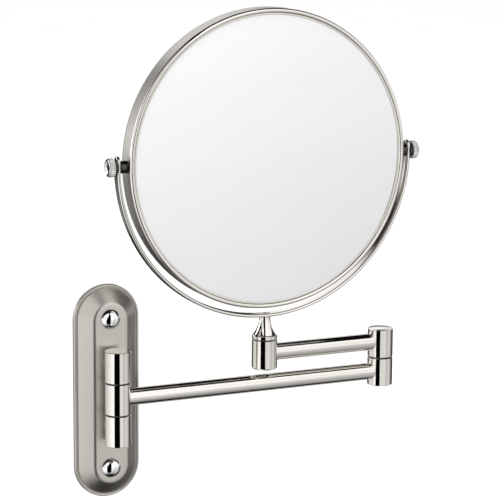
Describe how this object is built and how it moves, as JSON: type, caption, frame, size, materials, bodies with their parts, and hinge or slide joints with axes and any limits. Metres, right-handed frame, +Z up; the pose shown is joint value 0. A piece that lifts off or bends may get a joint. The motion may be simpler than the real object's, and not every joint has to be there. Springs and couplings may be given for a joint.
{
  "type": "extendable shaving mirror",
  "caption": "Wall mirror on a two-section folding swing arm: a round double-sided mirror that tilts and turns over in a half-ring yoke with knurled clamping knobs.",
  "frame": {"origin": "centre of the wall plate's back face, which lies on the wall", "axes": "+Z up, +Y into the wall, +X to the right of someone facing the wall; the arm is folded flat along the wall towards +X and the mirror faces -Y"},
  "size_m": [0.2518, 0.0695, 0.338],
  "materials": {
    "satin_nickel": "satin brushed nickel",
    "polished_nickel": "polished nickel plate",
    "polished_chrome": "polished chrome plate",
    "silvered_glass": "silvered glass",
    "black_nylon": "moulded nylon",
    "zinc_steel": "zinc plated steel",
    "bronze": "turned bronze",
    "backing_foam": "closed cell foam"
  },
  "bodies": {
    "wall_base": {"wall_plate": "satin_nickel", "hinge_posts": "polished_nickel", "upper_wall_knuckle": "polished_nickel", "lower_wall_knuckle": "polished_nickel", "post_screws": "zinc_steel", "post_washers": "zinc_steel", "wall_hinge_pin": "zinc_steel", "wall_hinge_washers": "black_nylon", "wall_screws": "zinc_steel", "screw_cap_seats": "black_nylon", "screw_caps": "polished_chrome"},
    "lower_arm": {"middle_wall_knuckle": "polished_nickel", "wall_knuckle_bush": "bronze", "lower_arm_tube": "polished_nickel", "lower_elbow_knuckle": "polished_nickel", "elbow_bolt": "zinc_steel", "elbow_washer": "black_nylon", "elbow_flat_washer": "zinc_steel", "elbow_spring_washer": "zinc_steel", "elbow_nut": "zinc_steel"},
    "upper_arm": {"upper_elbow_knuckle": "polished_nickel", "elbow_bush": "bronze", "elbow_cap": "polished_nickel", "upper_arm_tube": "polished_nickel", "swivel_socket": "polished_nickel", "socket_bush": "bronze"},
    "yoke_frame": {"swivel_washer": "black_nylon", "swivel_stem": "polished_nickel", "stem_flat_washer": "zinc_steel", "stem_spring_washer": "zinc_steel", "stem_screw": "zinc_steel", "yoke": "polished_nickel", "yoke_screw": "zinc_steel", "yoke_bushes": "black_nylon", "pivot_washers": "black_nylon"},
    "mirror_head": {"mirror_hoop": "satin_nickel", "front_bezel": "polished_nickel", "rear_bezel": "polished_nickel", "plain_mirror": "silvered_glass", "magnifying_mirror": "silvered_glass", "backing_pad": "backing_foam", "spacer_ring": "black_nylon", "pivot_bosses": "bronze", "pivot_spacers": "polished_nickel"},
    "left_clamp": {"left_knob": "polished_chrome", "left_knob_stud": "zinc_steel"},
    "right_clamp": {"right_knob": "polished_chrome", "right_knob_stud": "zinc_steel"}
  },
  "joints": [
    {"name": "wall_swing", "type": "hinge", "parent": "wall_base", "child": "lower_arm", "pos_m": [0, -0.0235, 0], "axis": [0, 0, -1], "range_deg": [0, 180]},
    {"name": "elbow", "type": "hinge", "parent": "lower_arm", "child": "upper_arm", "pos_m": [0.2025, -0.0235, 0], "axis": [0, 0, 1], "continuous": true},
    {"name": "head_swivel", "type": "hinge", "parent": "upper_arm", "child": "yoke_frame", "pos_m": [0.1105, -0.0235, 0.0208], "axis": [0, 0, 1], "continuous": true},
    {"name": "mirror_tilt", "type": "hinge", "parent": "yoke_frame", "child": "mirror_head", "pos_m": [0.1105, -0.0235, 0.1588], "axis": [1, 0, 0], "continuous": true},
    {"name": "left_knob_turn", "type": "hinge", "parent": "mirror_head", "child": "left_clamp", "pos_m": [0.1105, -0.0235, 0.1588], "axis": [-1, 0, 0], "range_deg": [0, 180]},
    {"name": "right_knob_turn", "type": "hinge", "parent": "mirror_head", "child": "right_clamp", "pos_m": [0.1105, -0.0235, 0.1588], "axis": [1, 0, 0], "range_deg": [0, 180]}
  ]
}
